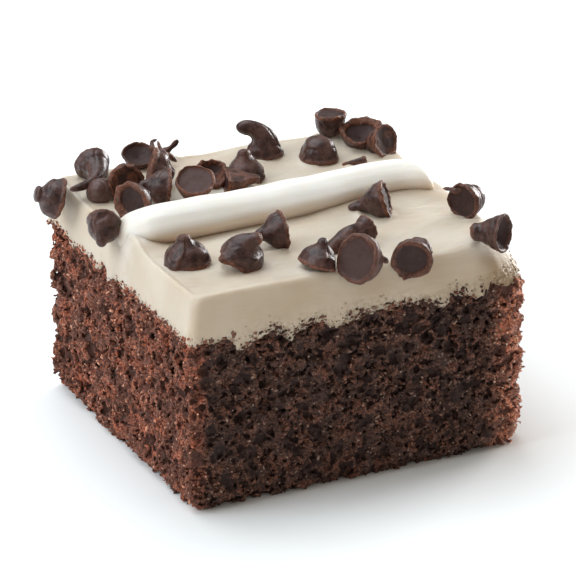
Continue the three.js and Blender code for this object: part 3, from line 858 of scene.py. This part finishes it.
CHIPS = [
    chip(-33.5, 20.8, 165, 20, 0.96, lift=-3.0, tall=0.75, knob=0.4, torn=0.5),
    chip(-26.0, 22.4, 262, -4, 0.82, tall=4.0, thin=0.8, bend=86, bend_to=270, torn=0.1, rim=0.5),
    chip(-26.3, 17.4, 222, 34, 0.64, tall=0.6, barrel=0.7, rim=0.4, torn=0.5, tone=1.0),
    chip(-21.8, 17.9, 95, -12, 0.84, tall=0.8, folds=[(100, 0.25), (190, 0.22)], ruddy=1.0, torn=1.6,
         lip=(-0.16, -0.05, 90)),
    chip(-23.9, 7.0, 28, 0, 0.94, lift=0.5, dent=0.12, lip=(0.0, 0.24, 60)),
    chip(-31.8, 2.5, 235, -28, 0.92, tall=0.9, lift=-0.6, narrow=0.86, torn=0.2, rim=0.4,
         folds=[(200, 0.12)]),
    chip(-18.0, 12.4, 165, 8, 0.84, tall=1.1, torn=0.4, folds=[(30, 0.16)]),
    chip(-15.1, 18.9, 335, -15, 0.94, tall=0.7, torn=0.4, tone=0.8, folds=[(160, 0.15)]),
    chip(-15.3, 26.1, 66, -63, 0.72, tall=0.5, dent=0.4, lip=(-0.16, -0.08, 180), rim=0.4, torn=0.4),
    chip(-9.6, 27.6, 335, 30, 0.34, tall=3.6, bend=-25, thin=0.8, knob=0.6, ruddy=0.7),
    chip(-12.5, 9.1, 62, -64, 0.9, lift=0.6, lip=(-0.16, -0.08, 0), torn=0.6, tone=0.9),
    chip(-6.9, 14.9, 75, -55, 0.76, dent=0.6, tall=0.7, ruddy=0.9, torn=2.2),
    chip(-3.4, 11.7, 345, -8, 0.9, tall=1.3, cut=0.1, roll=180, ruddy=0.6),
    chip(-0.7, 15.2, 90, 84, 0.95, folds=[(220, 0.25), (330, 0.15)], ruddy=0.25),
    chip(6.2, 23.0, 154, 88, 0.8, tall=2.7, bend=118, thin=1.12, knob=0.2, rim=0.4,
         folds=[(300, 0.24), (350, 0.2)], torn=0.5),
    chip(14.7, 17.7, 64, 86, 0.98, tall=0.55, barrel=0.84, narrow=0.9, torn=0.4, rim=0.5),
    chip(20.5, 25.3, 244, -86, 0.78, tall=0.95, barrel=0.95, lift=0.5, torn=0.4, lip=(-0.14, -0.1, 0),
         folds=[(120, 0.16), (250, 0.12)], narrow=0.9),
    chip(24.4, 20.4, 50, -74, 0.95, tall=0.6, dent=0.55, lift=-0.6, torn=1.6, lip=(-0.06, 0.1, 180)),
    chip(26.0, 16.2, 112, -20, 0.76, tall=1.1, barrel=0.82, lift=0.2, torn=1.6, lip=(-0.1, 0.0, 0),
         ruddy=0.5),
    chip(18.9, 12.7, 176, 0, 0.24, tall=5.0, thin=1.3, ruddy=1.0),
    chip(12.1, -8.5, 147, -18, 0.86, tall=1.75, thin=0.8, torn=1.5),
    chip(26.2, -15.2, 24, 0, 0.86, tall=0.95, barrel=0.8, lip=(-0.12, -0.04, 0), rim=0.6, torn=1.3,
         folds=[(90, 0.12)]),
    chip(24.3, -27.6, 126, -4, 0.84, lift=-0.8, tall=1.5, thin=1.35, knob=0.4, dent=0.6, torn=0.3,
         snapped=0.6, rim=0.3, lip=(-0.1, 0.0, 0), bend=35, bend_to=90),
    chip(-24.3, -13.2, 160, 83, 1.0, tall=0.9, folds=[(60, 0.2)], snapped=0.5, torn=0.6),
    chip(-17.4, -17.8, 320, 62, 1.02, bend=50, drip=240, snapped=1.0, torn=0.6),
    chip(-9.2, -13.4, 172, -6, 0.86, tall=1.1, torn=1.6),
    chip(-6.2, -24.1, 10, 70, 0.86, bend=30, bend_to=200, folds=[(240, 0.2)], torn=0.6),
    chip(-0.2, -29.4, 22, -20, 1.1, lift=-0.6, lip=(-0.16, -0.02, 200), tone=0.8, rim=0.5, torn=0.4),
    chip(2.6, -17.6, 195, -12, 0.58, tall=4.4, thin=2.2, ruddy=0.3),
    chip(8.5, -27.8, 62, 12, 0.94, lift=-2.6, drip=24, lip=(-0.1, 0.12, 0), rim=0.7, torn=0.5),
]
# Broken bits that belong to a chip: its number, how red they are, and x, y, z and half width along
# them
BITS = [
    (10, 0.5, [(-12.3, 24.5, 40.0, 0.3), (-12.9, 25.3, 41.3, 0.42), (-12.5, 26.2, 42.2, 0.36),
               (-11.9, 25.8, 42.4, 0.3)]),
    (10, 0.8, [(-11.9, 25.6, 42.3, 0.25), (-11.9, 24.6, 41.5, 0.4), (-11.2, 24.4, 40.3, 0.55),
               (-10.1, 24.4, 39.6, 0.7), (-9.2, 23.7, 38.7, 0.5)]),
    (22, 0.9, [(23.2, -11.4, 41.0, 0.25), (23.7, -12.9, 41.3, 0.45), (24.3, -14.0, 41.5, 0.8),
               (25.4, -14.8, 41.6, 0.7)]),
    (23, 1.0, [(22.3, -22.9, 38.5, 0.35), (22.6, -23.8, 38.2, 0.62), (22.3, -24.4, 37.6, 0.4)]),
    (23, 1.0, [(22.9, -24.3, 37.2, 0.3), (23.7, -24.4, 37.2, 0.5), (24.4, -24.9, 37.2, 0.3)]),
    (28, 0.4, [(0.4, -29.9, 40.0, 0.8), (1.4, -31.1, 40.1, 0.95), (2.5, -32.1, 39.6, 0.5)]),
    (30, 0.15, [(9.5, -25.8, 39.6, 0.3), (10.5, -26.6, 39.8, 0.7), (11.1, -28.3, 39.7, 0.85),
                (10.9, -30.1, 39.1, 0.55), (10.5, -31.0, 38.6, 0.25)]),
]
# How far a chip sinks into the frosting
CHIP_SINK = 0.6
# Radius and height of a drop, as shares of its widest radius and of its height
DROP = [(0.0, 0.075), (0.45, 0.07), (0.72, 0.06), (0.80, 0.035), (0.86, 0.0), (0.94, -0.015), (1.02, 0.015),
        (1.05, 0.075), (1.02, 0.14), (0.985, 0.22), (0.9, 0.38), (0.7, 0.54), (0.48, 0.67), (0.35, 0.79),
        (0.29, 0.9), (0.18, 0.975), (0.0, 1.0)]
DROP_ROWS, DROP_AROUND = 74, 80
# The share of a drop's height above which its neck may stretch and bend
WAIST = 0.45


def drop_spine(row, settings):
    """The radius of a chip, the height of its waist and the length of its whole spine."""
    size = row["size"]
    height = settings.height / MM * size
    waist = WAIST * height
    return settings.diameter / MM / 2 * size, waist, waist + (1 - WAIST) * height * row["tall"]


def bent(row, across, deep, along, waist, full):
    """Points beside a spine that runs up to the waist and then curves towards one side."""
    angle = math.radians(row["bend"] or 0.01)
    radius = (full - waist) / angle
    turned = angle * np.clip((along - waist) / (full - waist), 0, None)
    towards = math.radians(row["bend_to"])
    side = across * math.cos(towards) + deep * math.sin(towards)
    other = deep * math.cos(towards) - across * math.sin(towards)
    spine = np.where(along > waist, radius * (1 - np.cos(turned)), 0)
    rise = np.where(along > waist, waist + radius * np.sin(turned), along)
    out = spine + side * np.cos(turned)
    up = rise - side * np.sin(turned)
    return np.column_stack([out * math.cos(towards) - other * math.sin(towards),
                            out * math.sin(towards) + other * math.cos(towards), up])


def turn_from(turn, degrees):
    """How far round each angle is from a given one, from -pi to pi."""
    return (turn - math.radians(degrees) + math.pi) % (2 * math.pi) - math.pi


def chip_mesh(number, row, settings):
    """A piped drop where it lies: flat foot, ragged rim, round shoulder and a drawn-out tip."""
    radius, waist, full = drop_spine(row, settings)
    outline, around = through(DROP, DROP_ROWS)[1:-1], DROP_AROUND
    widest = int(np.argmax(outline[:, 0]))
    r, z = (np.repeat(outline[:, k], around) for k in (0, 1))
    under = np.repeat(np.arange(len(outline)) < widest, around)
    turn = np.tile(np.linspace(0, 2 * math.pi, around, endpoint=False), len(outline))
    ring = np.column_stack([np.cos(turn) * r, np.sin(turn) * r, z]) + number * 13.7
    up = np.where(z < WAIST, z / WAIST * waist, waist + (z - WAIST) / (1 - WAIST) * (full - waist))
    lip = np.where(under, smooth_step(r, 0.74, 0.84), 1 - smooth_step(z, 0.07, 0.17))
    # The flat foot, pushed to one side where the rim is thick
    least, most, faces = row["lip"]
    thick = least + (most - least) * (0.5 + 0.5 * np.cos(turn_from(turn, faces)))
    thick = thick + 0.05 * noise(ring + 3, 0.5)
    r = np.where(under, r * (1 - thick * (1 - smooth_step(r, 0.8, 0.96))), r)
    stout = row["barrel"] * np.clip(1 - np.clip((z - 0.25) / 0.75, 0, 1) ** 2.6, 0, 1) ** 0.5
    r = np.where(under, r, np.maximum(r, stout))
    slim = 1 - (1 - row["thin"]) * smooth_step(z, WAIST, 0.75)
    slim += row["knob"] * smooth_step(z, 0.7, 0.88)
    body = smooth_step(z, 0.08, 0.2) * ~under
    lumps = 1 + 0.09 * noise(ring, 0.9) + 0.04 * noise(ring, 0.35)
    lumps -= 0.07 * body * (1 - np.abs(noise(ring + 21, 0.8))) ** 7
    lumps += lip * (0.07 * noise(ring + 5, 0.4) + 0.035 * noise(ring + 5, 0.13)) * row["torn"]
    if row["drip"] is not None:
        lumps += 0.34 * lip * np.exp(-(turn_from(turn, row["drip"]) / 0.2) ** 2)
    # Folds: a flap that swells round the body and ends in a step
    edge = np.zeros(len(r))
    for angle, depth in row["folds"]:
        round_it = turn_from(turn - 0.7 * z + 0.12 * noise(ring + 31, 0.4), angle)
        since = np.where(round_it > 0, 2 * math.pi - round_it, -round_it)
        step = np.exp(-since / 0.7) * smooth_step(since, 0.0, 0.13)
        lumps += depth * step * (0.35 + 0.65 * body)
        edge = np.maximum(edge, 0.5 * np.exp(-((since - 0.12) / 0.07) ** 2) * (body + 0.3 * lip))
    across = np.cos(turn) * r * slim * radius * lumps
    deep = np.sin(turn) * r * slim * radius * lumps * row["narrow"]
    across = np.minimum(across, row["cut"] * radius * (1 + 0.04 * noise(ring + 41, 0.3)))
    along = up + 0.04 * radius * noise(ring + 9, 0.5)
    along += radius * (lip * 0.05 * noise(ring + 15, 0.16) + under * row["dent"] * (1 - r))
    # The middle of the foot and the very tip close the outline
    along = np.r_[0.07 * full + row["dent"] * radius, along, full]
    points = bent(row, np.r_[0, across, 0], np.r_[0, deep, 0], along, waist, full)
    snapped = row["snapped"] * smooth_step(z, 0.86, 0.95)
    ruddy = row["ruddy"] * smooth_step(noise(ring + 51, 0.5), -0.3, 0.3)
    bare = np.maximum(lip * row["rim"], np.maximum(edge, np.maximum(snapped, ruddy)))
    rim = np.r_[0, np.clip(bare, 0, 1), row["snapped"]]
    foot = np.r_[1, under * (1 - lip), 0]
    turned = Matrix.Rotation(math.radians(row["heading"]), 3, "Z") @ Matrix.Rotation(
        math.radians(90 - row["pitch"]), 3, "Y") @ Matrix.Rotation(math.radians(row["roll"]), 3, "Z")
    points = points @ np.array(turned).T
    centre = (points.min(0) + points.max(0)) / 2
    rest = frosting_surface(row["x"], row["y"]) - CHIP_SINK + row["lift"]
    points += [row["x"] - centre[0], row["y"] - centre[1], rest - points[:, 2].min()]
    marks = {"rim": rim, "foot": foot, "tone": np.full(len(rim), row["tone"])}
    return make_mesh(f"drop_{number:02d}", points, tube_faces(len(outline), around), marks)


def bit_mesh(number, ruddy, path):
    """A small broken twig or crescent of chocolate along a path."""
    steps, around = 26, 16
    line = through(path, steps + 2)
    ends = np.clip(np.minimum(np.arange(1, steps + 1), np.arange(steps, 0, -1)) / 3.5, 0, 1) ** 0.5
    turn = np.linspace(0, 2 * math.pi, around, endpoint=False)
    rings = []
    for n in range(1, steps + 1):
        along = Vector(line[n + 1, :3] - line[n - 1, :3]).normalized()
        side = along.cross(Vector((0.3, 0.1, 1.0))).normalized()
        other = along.cross(side)
        ring = np.outer(np.cos(turn), side) + 0.8 * np.outer(np.sin(turn), other)
        rings.append(line[n, :3] + ring * line[n, 3] * ends[n - 1])
    points = np.vstack([line[0, :3], *rings, line[-1, :3]])
    points += 0.12 * np.column_stack([noise(points + 17 * k, 0.7) for k in range(3)])
    red = ruddy * smooth_step(noise(points, 0.6), -0.6, 0.1)
    marks = {"rim": red, "foot": np.zeros(len(red)), "tone": np.full(len(red), 0.8)}
    return make_mesh(f"bit_{number:02d}", points, tube_faces(steps, around), marks)


# Settings that a user would change

def length_setting(name, about, default):
    return FloatProperty(name=name, description=about, default=default, unit="LENGTH", precision=5)


def power_setting(name, about, default):
    return FloatProperty(name=name, description=about, default=default, unit="POWER")


def colour_setting(name, about, *rgb):
    return FloatVectorProperty(name=name, description=about, subtype="COLOR", size=4, default=(*rgb, 1))


class SpongeSettings(bpy.types.PropertyGroup):
    length: length_setting("Length", "Cut length along the stripe", CAKE_LENGTH * MM)
    depth: length_setting("Depth", "Cut depth across the stripe", CAKE_DEPTH * MM)
    height: length_setting("Height", "Height of the sponge", SPONGE_HEIGHT * MM)
    step: length_setting("Step", "Distance between samples of the crumb", 0.0002)
    pore: length_setting("Pore", "Distance between pores", 0.00095)
    cavity: length_setting("Cavity", "Distance between large cavities", 0.0042)
    grains: FloatProperty(name="Grains", description="Loose crumbs on each square mm that stands out",
                          default=3.4)
    colour: colour_setting("Colour", "Crumb that stands out", 0.225, 0.106, 0.071)
    red: colour_setting("Red", "Warmer patches", 0.25, 0.095, 0.056)
    dark: colour_setting("Dark", "Darker crumb", 0.054, 0.027, 0.0215)
    # Painted shade: the colour that crumb darkens to deep in a pore
    pore_shade: colour_setting("Pit", "The depth of a pore", 0.034, 0.018, 0.0150)
    # Pale specks, partly painted glints of moist crumb
    speck_and_glint: colour_setting("Speck", "Pale moist specks", 0.62, 0.46, 0.36)


class FrostingSettings(bpy.types.PropertyGroup):
    detail: IntProperty(name="Detail", description="Grid cells along each side", default=296, min=40)
    colour: colour_setting("Colour", "Coffee frosting", 0.585, 0.472, 0.358)
    pale: colour_setting("Pale", "Frosting drawn thin", 0.64, 0.545, 0.44)
    fleck: colour_setting("Fleck", "Crumb mixed into the torn edge", 0.36, 0.23, 0.14)
    # Painted shade in the pinholes
    shaded_pinhole: colour_setting("Hole", "Pinholes near the torn edge", 0.12, 0.075, 0.05)
    coating: colour_setting("Coating", "Crumbs coated with frosting", 0.50, 0.38, 0.25)
    # Painted shade: the warmer, darker tint of the near cut face
    cut: colour_setting("Cut", "Tint of the cut face", 1.0, 0.965, 0.905)
    # Painted shadow of the stripe on the bank in front of it
    bank: colour_setting("Bank", "Tint of the hollow in front of the stripe", 0.66, 0.605, 0.535)
    # Painted shade at the near cut face's right corner
    corner: colour_setting("Corner", "Tint of the cut face at its right corner", 0.80, 0.735, 0.66)
    cream: colour_setting("Cream", "Cream smeared at the end of the stripe", 0.72, 0.64, 0.555)


class CreamSettings(bpy.types.PropertyGroup):
    colour: colour_setting("Colour", "Piped cream", 0.87, 0.835, 0.78)
    shade: colour_setting("Shade", "Its slightly darker parts", 0.85, 0.80, 0.73)
    # Painted shade and warm bounce light low on the rope, and its blend into the frosting at the left end
    stain_and_shade: colour_setting("Stained", "Where it sinks into the coffee frosting", 0.78, 0.635, 0.50)


class ChipSettings(bpy.types.PropertyGroup):
    diameter: length_setting("Diameter", "Foot of a full-size chip", 0.0072)
    height: length_setting("Height", "Height of a full-size chip", 0.0056)
    colour: colour_setting("Colour", "Dark chocolate", 0.030, 0.0120, 0.0095)
    dusty: colour_setting("Dusty", "Rubbed chocolate", 0.098, 0.048, 0.040)
    foot: colour_setting("Foot", "Flat foot", 0.038, 0.0170, 0.0140)
    rim_colour: colour_setting("Rim", "Broken rim", 0.20, 0.070, 0.037)
    chalk: colour_setting("Chalk", "Pale grains on the broken rim", 0.36, 0.20, 0.14)


class StudioSettings(bpy.types.PropertyGroup):
    key: power_setting("Key", "Power of the soft light from the left", 4.8)
    top: power_setting("Top", "Power of the overhead light behind the cake", 6.8)
    right: power_setting("Right", "Power of the light from the right", 9.5)
    room: FloatProperty(name="Room", description="Strength of the light from all round", default=0.38)
    cool: FloatVectorProperty(name="Cool", description="Colour of the key and top lights", subtype="COLOR",
                              size=3, default=(0.81, 0.915, 1.0))
    warm: colour_setting("Warm", "Colour of the light from all round", 1.0, 0.95, 0.855)
    floor: colour_setting("Floor", "Pale floor", 0.962, 0.945, 0.928)


# Operators

class CAKE_OT_sponge(bpy.types.Operator):
    """Grow the porous sponge"""
    bl_idname = "cake.sponge"
    bl_label = "Sponge"

    def execute(self, context):
        s = context.scene.cake_sponge
        crumb, grains = crumb_tree(), grain_tree()
        crumb_look, grain_look = sponge_finish(s), grain_finish(s)
        for number, (side, (low, high)) in enumerate(cut_sides().items()):
            heart = side == "heart"
            mesh = grown(f"sponge_{side}", crumb, {
                "Window Low": low, "Window High": high, "Length": s.length / MM, "Depth": s.depth / MM,
                "Height": s.height / MM, "Corner": CORNER, "Near Corner": CORNER_NEAR,
                "Step": HEART_STEP if heart else s.step / MM, "Pore Size": s.pore / MM,
                "Cavity Size": s.cavity / MM, "Foot": FOOT_INSET,
                "Smallest Island": 1.0 if heart else SMALLEST_ISLAND, "Material": crumb_look,
            }, limit=SIDE_TRIANGLES)
            plain_piece(f"sponge_{side}", mesh, ["sponge"])
            if not heart:
                loose = grown(f"crumb_grains_{side}", grains, {
                    "Where": "pore_depth", "Bare At": 0.35, "Full At": 0.15, "Seed": number,
                    "Grains per square mm": s.grains, "Smallest": 0.09, "Largest": 0.22, "Longest": 3.0,
                    "Lowest": 0.25, "Highest": SPONGE_HEIGHT + 1.0, "Material": grain_look}, start=mesh)
                plain_piece(f"crumb_grains_{side}", loose, [])
        return {"FINISHED"}


class CAKE_OT_frosting(bpy.types.Operator):
    """Spread the coffee frosting"""
    bl_idname = "cake.frosting"
    bl_label = "Frosting"

    def execute(self, context):
        s = context.scene.cake_frosting
        mesh = frosting_mesh(s.detail)
        plain_piece("frosting_spread", mesh, ["frosting"], frosting_finish(s))
        tree = grain_tree()
        seam_look, coated_look = grain_finish(context.scene.cake_sponge), coated_finish(s)
        keys = ("Where", "Bare At", "Full At", "Grains per square mm", "Smallest", "Largest", "Longest")
        for seed, name, slot, finish, *rule in (
                (40, "seam_crumbs", "sponge", seam_look, "hem", 0.35, 1.0, 5.5, 0.10, 0.34, 2.6),
                (41, "coated_crumbs", "frosting", coated_look, "crumbly", 0.3, 1.0, 2.7, 0.11, 0.27, 1.6)):
            values = dict(zip(keys, rule), Lowest=0.0, Highest=FROSTING_TOP, Seed=seed, Material=finish)
            plain_piece(name, grown(name, tree, values, start=mesh), [])
        return {"FINISHED"}


class CAKE_OT_stripe(bpy.types.Operator):
    """Pipe the cream stripe"""
    bl_idname = "cake.stripe"
    bl_label = "Cream stripe"

    def execute(self, context):
        finish = cream_finish(context.scene.cake_cream)
        plain_piece("cream_rope", stripe_mesh(), ["cream_stripe"], finish)
        return {"FINISHED"}


class CAKE_OT_chips(bpy.types.Operator):
    """Scatter the chocolate chips"""
    bl_idname = "cake.chips"
    bl_label = "Chocolate chips"

    def execute(self, context):
        s = context.scene.cake_chips
        finish = chocolate_finish(s)
        for number, row in enumerate(CHIPS, 1):
            node = f"chip_{number:02d}"
            plain_piece(f"drop_{number:02d}", chip_mesh(number, row, s), [node], finish)
        for number, (owner, ruddy, path) in enumerate(BITS, 1):
            bit = bit_mesh(number, ruddy, path)
            plain_piece(f"bit_{number:02d}", bit, [f"chip_{owner:02d}"], finish)
        return {"FINISHED"}


# The studio, in metres and degrees: the floor, where the lights look, and the photograph's camera
FLOOR_REACH = 3.0
FLOOR_LEVEL = -0.00005
LIGHT_AIM = Vector((0, 0, 0.02))
CAMERA_PLACE = (-0.3000, -0.6180, 0.3235)
CAMERA_DOWN = 23.63
CAMERA_HEADING = -25.91
CAMERA_LENS = 280.05
CAMERA_SENSOR = 36.0


class CAKE_OT_studio(bpy.types.Operator):
    """Add the pale floor, the soft lights and the camera"""
    bl_idname = "cake.studio"
    bl_label = "Studio"

    def execute(self, context):
        s = context.scene.cake_studio
        add_floor(s)
        add_light("key_left", (-0.75, 0.10, 0.55), 0.6, s.key, s.cool)
        add_light("top_back", (-0.08, 0.33, 0.80), 0.8, s.top, s.cool)
        add_light("side_right", (0.76, 0.30, 0.10), 0.4, s.right, (1.0, 1.0, 1.0))
        world = bpy.data.worlds.new("soft_room")
        world.use_nodes = True
        tree = world.node_tree
        Graph(tree).feed(tree.nodes["Background"], {"Color": s.warm, "Strength": s.room})
        context.scene.world = world
        add_camera(context.scene)
        context.scene.view_settings.view_transform = "Standard"
        return {"FINISHED"}


def add_floor(settings):
    material, graph, surface, place = shader("pale_floor")
    tone = graph.blend(graph.noise(place, 60.0, 2.0), settings.floor, (0.955, 0.945, 0.93, 1))
    graph.feed(surface, {"Base Color": tone, "Roughness": 0.9, "Specular IOR Level": 0.1})
    mesh = bpy.data.meshes.new("floor")
    corners = [(x * FLOOR_REACH, y * FLOOR_REACH, FLOOR_LEVEL)
               for x, y in ((-1, -1), (1, -1), (1, 1), (-1, 1))]
    mesh.from_pydata(corners, [], [(0, 1, 2, 3)])
    floor = bpy.data.objects.new("floor", mesh)
    bpy.context.scene.collection.objects.link(floor)
    floor.data.materials.append(material)


def add_light(name, place, size, power, colour):
    """A soft square light that faces the cake."""
    data = bpy.data.lights.new(name, "AREA")
    data.color = colour
    data.shape = "SQUARE"
    data.size = size
    data.energy = power
    light = bpy.data.objects.new(name, data)
    light.location = place
    light.rotation_euler = (LIGHT_AIM - light.location).to_track_quat("-Z", "Y").to_euler()
    bpy.context.scene.collection.objects.link(light)


def add_camera(scene):
    """The photograph's view: from the front left, looking down at the near corner."""
    data = bpy.data.cameras.new("camera")
    data.sensor_width = CAMERA_SENSOR
    data.lens = CAMERA_LENS
    camera = bpy.data.objects.new("camera", data)
    camera.location = CAMERA_PLACE
    camera.rotation_euler = (math.radians(90 - CAMERA_DOWN), 0, math.radians(CAMERA_HEADING))
    scene.collection.objects.link(camera)
    scene.camera = camera


class CAKE_PT_panel(bpy.types.Panel):
    """The pieces of the cake"""
    bl_idname = "CAKE_PT_panel"
    bl_label = "Cappuccino mini cake"
    bl_space_type = "VIEW_3D"
    bl_region_type = "UI"
    bl_category = "Cake"

    def draw(self, context):
        for group, (_, operator) in GROUPS.items():
            box = self.layout.box()
            settings = getattr(context.scene, group)
            for name in settings.bl_rna.properties.keys():
                if name not in ("rna_type", "name"):
                    box.prop(settings, name)
            box.operator(operator.bl_idname)


# Each group of settings and the operator that it belongs to, in the order of the build
GROUPS = {
    "cake_sponge": (SpongeSettings, CAKE_OT_sponge),
    "cake_frosting": (FrostingSettings, CAKE_OT_frosting),
    "cake_cream": (CreamSettings, CAKE_OT_stripe),
    "cake_chips": (ChipSettings, CAKE_OT_chips),
    "cake_studio": (StudioSettings, CAKE_OT_studio),
}
CLASSES = [cls for pair in GROUPS.values() for cls in pair] + [CAKE_PT_panel]


def register():
    for cls in CLASSES:
        bpy.utils.register_class(cls)
    for name, (settings, _) in GROUPS.items():
        setattr(bpy.types.Scene, name, PointerProperty(type=settings))


def unregister():
    for name in GROUPS:
        delattr(bpy.types.Scene, name)
    for cls in reversed(CLASSES):
        bpy.utils.unregister_class(cls)


def main():
    register()
    bpy.ops.cake.sponge()
    bpy.ops.cake.frosting()
    bpy.ops.cake.stripe()
    bpy.ops.cake.chips()
    bpy.ops.cake.studio()


if __name__ == "__main__":
    main()
